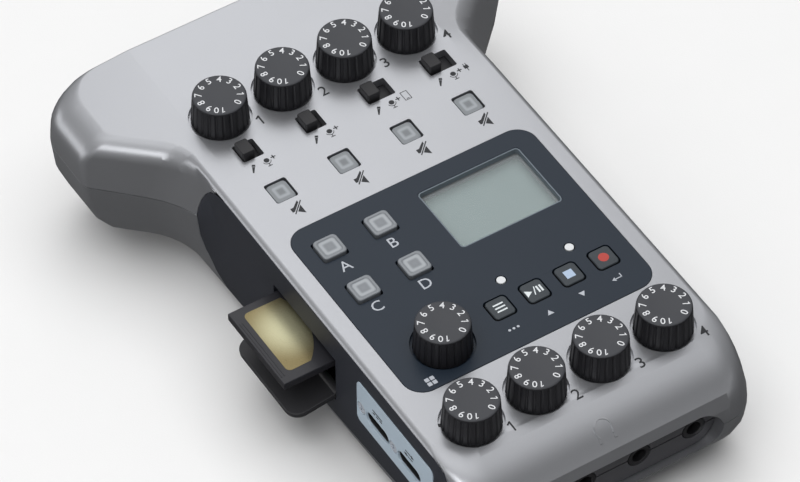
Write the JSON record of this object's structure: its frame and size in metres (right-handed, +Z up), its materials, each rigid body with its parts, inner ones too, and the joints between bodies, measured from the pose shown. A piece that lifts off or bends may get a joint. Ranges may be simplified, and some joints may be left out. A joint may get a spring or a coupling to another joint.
{
  "type": "podcast recorder",
  "caption": "Wedge-shaped tabletop recorder with rear wings, gain and headphone knobs, mute keys, sound pads, display, transport keys, card bay and a battery bay.",
  "frame": {"origin": "centre of the bounding box on the table plane, under the rubber feet", "axes": "+Z up, +Y to the rear with the microphone sockets, -Y to the front with the headphone sockets, +X to the right when facing the display"},
  "size_m": [0.112, 0.1566, 0.0469],
  "materials": {
    "case_silver": "satin metallic paint on moulded plastic",
    "dark_wall": "fine matt texture",
    "panel_slate": "smooth matt, slate grey",
    "window_clear": "clear, polished",
    "lcd_grey": "unlit display film",
    "lamp_white": "milky light pipe",
    "knob_black": "matt black moulding",
    "switch_black": "matt black moulding",
    "key_smoke": "translucent grey silicone",
    "key_grey": "dark grey silicone",
    "control_parts": "moulded housings",
    "board_green": "solder mask",
    "socket_black": "black moulding",
    "bright_metal": "plain bright",
    "plate_blue": "matt blue grey",
    "card_black": "fine gloss",
    "door_black": "soft black moulding",
    "door_grey": "satin",
    "cell_wrap": "printed sleeve, left plain",
    "foot_rubber": "matt rubber"
  },
  "bodies": {
    "case": {"top_cover": "case_silver", "bottom_case": "case_silver", "side_panel_left": "dark_wall", "side_panel_right": "dark_wall", "front_jack_panel": "dark_wall", "rear_socket_panel": "dark_wall", "display_panel": "panel_slate", "display_window": "window_clear", "lcd_module": "lcd_grey", "indicator_lights": "lamp_white", "potentiometers": "control_parts", "slide_switch_bodies": "control_parts", "key_switches": "control_parts", "control_board": "board_green", "main_board": "board_green", "xlr_socket_1": "socket_black", "xlr_socket_2": "socket_black", "xlr_socket_3": "socket_black", "xlr_socket_4": "socket_black", "headphone_sockets": "socket_black", "phone_socket": "socket_black", "usb_power_socket": "bright_metal", "usb_data_socket": "bright_metal", "port_plate_left": "plate_blue", "port_plate_right": "plate_blue", "plate_screws": "bright_metal", "card_socket": "bright_metal", "card_door_pin": "bright_metal", "battery_cells": "cell_wrap", "rubber_feet": "foot_rubber", "case_screws": "bright_metal"},
    "gain_knob_1_body": {"gain_knob_1": "knob_black"},
    "gain_knob_2_body": {"gain_knob_2": "knob_black"},
    "gain_knob_3_body": {"gain_knob_3": "knob_black"},
    "gain_knob_4_body": {"gain_knob_4": "knob_black"},
    "pad_level_knob_body": {"pad_level_knob": "knob_black"},
    "phones_knob_1_body": {"phones_knob_1": "knob_black"},
    "phones_knob_2_body": {"phones_knob_2": "knob_black"},
    "phones_knob_3_body": {"phones_knob_3": "knob_black"},
    "phones_knob_4_body": {"phones_knob_4": "knob_black"},
    "input_switch_1_body": {"input_switch_1": "switch_black"},
    "input_switch_2_body": {"input_switch_2": "switch_black"},
    "input_switch_3_body": {"input_switch_3": "switch_black"},
    "input_switch_4_body": {"input_switch_4": "switch_black"},
    "mute_key_1_body": {"mute_key_1": "key_smoke"},
    "mute_key_2_body": {"mute_key_2": "key_smoke"},
    "mute_key_3_body": {"mute_key_3": "key_smoke"},
    "mute_key_4_body": {"mute_key_4": "key_smoke"},
    "sound_pad_a_body": {"sound_pad_a": "key_smoke"},
    "sound_pad_b_body": {"sound_pad_b": "key_smoke"},
    "sound_pad_c_body": {"sound_pad_c": "key_smoke"},
    "sound_pad_d_body": {"sound_pad_d": "key_smoke"},
    "menu_key_body": {"menu_key": "key_grey"},
    "play_key_body": {"play_key": "key_grey"},
    "stop_key_body": {"stop_key": "key_grey"},
    "record_key_body": {"record_key": "key_grey"},
    "power_switch_body": {"power_switch": "switch_black"},
    "card_door_body": {"card_door": "door_black"},
    "memory_card_body": {"memory_card": "card_black"},
    "battery_door_body": {"battery_door": "door_grey"}
  },
  "joints": [
    {"name": "gain_knob_1_turn", "type": "hinge", "parent": "case", "child": "gain_knob_1_body", "pos_m": [-0.02475, 0.04633, 0.03915], "axis": [0, -0.0698, 0.9976], "range_deg": [-150, 150]},
    {"name": "gain_knob_2_turn", "type": "hinge", "parent": "case", "child": "gain_knob_2_body", "pos_m": [-0.00825, 0.04633, 0.03915], "axis": [0, -0.0698, 0.9976], "range_deg": [-150, 150]},
    {"name": "gain_knob_3_turn", "type": "hinge", "parent": "case", "child": "gain_knob_3_body", "pos_m": [0.00825, 0.04633, 0.03915], "axis": [0, -0.0698, 0.9976], "range_deg": [-150, 150]},
    {"name": "gain_knob_4_turn", "type": "hinge", "parent": "case", "child": "gain_knob_4_body", "pos_m": [0.02475, 0.04633, 0.03915], "axis": [0, -0.0698, 0.9976], "range_deg": [-150, 150]},
    {"name": "pad_level_knob_turn", "type": "hinge", "parent": "case", "child": "pad_level_knob_body", "pos_m": [-0.0184, -0.03667, 0.03335], "axis": [0, -0.0698, 0.9976], "range_deg": [-150, 150]},
    {"name": "phones_knob_1_turn", "type": "hinge", "parent": "case", "child": "phones_knob_1_body", "pos_m": [-0.02475, -0.05801, 0.03185], "axis": [0, -0.0698, 0.9976], "range_deg": [-150, 150]},
    {"name": "phones_knob_2_turn", "type": "hinge", "parent": "case", "child": "phones_knob_2_body", "pos_m": [-0.00825, -0.05801, 0.03185], "axis": [0, -0.0698, 0.9976], "range_deg": [-150, 150]},
    {"name": "phones_knob_3_turn", "type": "hinge", "parent": "case", "child": "phones_knob_3_body", "pos_m": [0.00825, -0.05801, 0.03185], "axis": [0, -0.0698, 0.9976], "range_deg": [-150, 150]},
    {"name": "phones_knob_4_turn", "type": "hinge", "parent": "case", "child": "phones_knob_4_body", "pos_m": [0.02475, -0.05801, 0.03185], "axis": [0, -0.0698, 0.9976], "range_deg": [-150, 150]},
    {"name": "input_switch_1_slide", "type": "slide", "parent": "case", "child": "input_switch_1_body", "axis": [1, 0, 0], "range_m": [0, 0.00175]},
    {"name": "input_switch_2_slide", "type": "slide", "parent": "case", "child": "input_switch_2_body", "axis": [1, 0, 0], "range_m": [0, 0.00175]},
    {"name": "input_switch_3_slide", "type": "slide", "parent": "case", "child": "input_switch_3_body", "axis": [1, 0, 0], "range_m": [0, 0.0035]},
    {"name": "input_switch_4_slide", "type": "slide", "parent": "case", "child": "input_switch_4_body", "axis": [1, 0, 0], "range_m": [0, 0.0035]},
    {"name": "mute_key_1_press", "type": "slide", "parent": "case", "child": "mute_key_1_body", "axis": [0, 0.0698, -0.9976], "range_m": [0, 0.0006], "stiffness_N_per_m": 400},
    {"name": "mute_key_2_press", "type": "slide", "parent": "case", "child": "mute_key_2_body", "axis": [0, 0.0698, -0.9976], "range_m": [0, 0.0006], "stiffness_N_per_m": 400},
    {"name": "mute_key_3_press", "type": "slide", "parent": "case", "child": "mute_key_3_body", "axis": [0, 0.0698, -0.9976], "range_m": [0, 0.0006], "stiffness_N_per_m": 400},
    {"name": "mute_key_4_press", "type": "slide", "parent": "case", "child": "mute_key_4_body", "axis": [0, 0.0698, -0.9976], "range_m": [0, 0.0006], "stiffness_N_per_m": 400},
    {"name": "sound_pad_a_press", "type": "slide", "parent": "case", "child": "sound_pad_a_body", "axis": [0, 0.0698, -0.9976], "range_m": [0, 0.0006], "stiffness_N_per_m": 400},
    {"name": "sound_pad_b_press", "type": "slide", "parent": "case", "child": "sound_pad_b_body", "axis": [0, 0.0698, -0.9976], "range_m": [0, 0.0006], "stiffness_N_per_m": 400},
    {"name": "sound_pad_c_press", "type": "slide", "parent": "case", "child": "sound_pad_c_body", "axis": [0, 0.0698, -0.9976], "range_m": [0, 0.0006], "stiffness_N_per_m": 400},
    {"name": "sound_pad_d_press", "type": "slide", "parent": "case", "child": "sound_pad_d_body", "axis": [0, 0.0698, -0.9976], "range_m": [0, 0.0006], "stiffness_N_per_m": 400},
    {"name": "menu_key_press", "type": "slide", "parent": "case", "child": "menu_key_body", "axis": [0, 0.0698, -0.9976], "range_m": [0, 0.0006], "stiffness_N_per_m": 400},
    {"name": "play_key_press", "type": "slide", "parent": "case", "child": "play_key_body", "axis": [0, 0.0698, -0.9976], "range_m": [0, 0.0006], "stiffness_N_per_m": 400},
    {"name": "stop_key_press", "type": "slide", "parent": "case", "child": "stop_key_body", "axis": [0, 0.0698, -0.9976], "range_m": [0, 0.0006], "stiffness_N_per_m": 400},
    {"name": "record_key_press", "type": "slide", "parent": "case", "child": "record_key_body", "axis": [0, 0.0698, -0.9976], "range_m": [0, 0.0006], "stiffness_N_per_m": 400},
    {"name": "power_switch_slide", "type": "slide", "parent": "case", "child": "power_switch_body", "axis": [0, 0.9976, 0.0698], "range_m": [0, 0.003]},
    {"name": "card_door_hinge", "type": "hinge", "parent": "case", "child": "card_door_body", "pos_m": [-0.0358, -0.00758, 0.01443], "axis": [0, 0.9976, 0.0698], "range_deg": [0, 98]},
    {"name": "memory_card_slide", "type": "slide", "parent": "case", "child": "memory_card_body", "axis": [1, 0, 0], "range_m": [0, 0.0142]},
    {"name": "battery_door_hinge", "type": "hinge", "parent": "case", "child": "battery_door_body", "pos_m": [0, 0.0144, 0.002], "axis": [-1, 0, 0], "range_deg": [0, 95]}
  ],
  "couplings": [
    {"joint": "card_door_hinge", "follows": "memory_card_slide", "rad_per_m": 120.45}
  ]
}
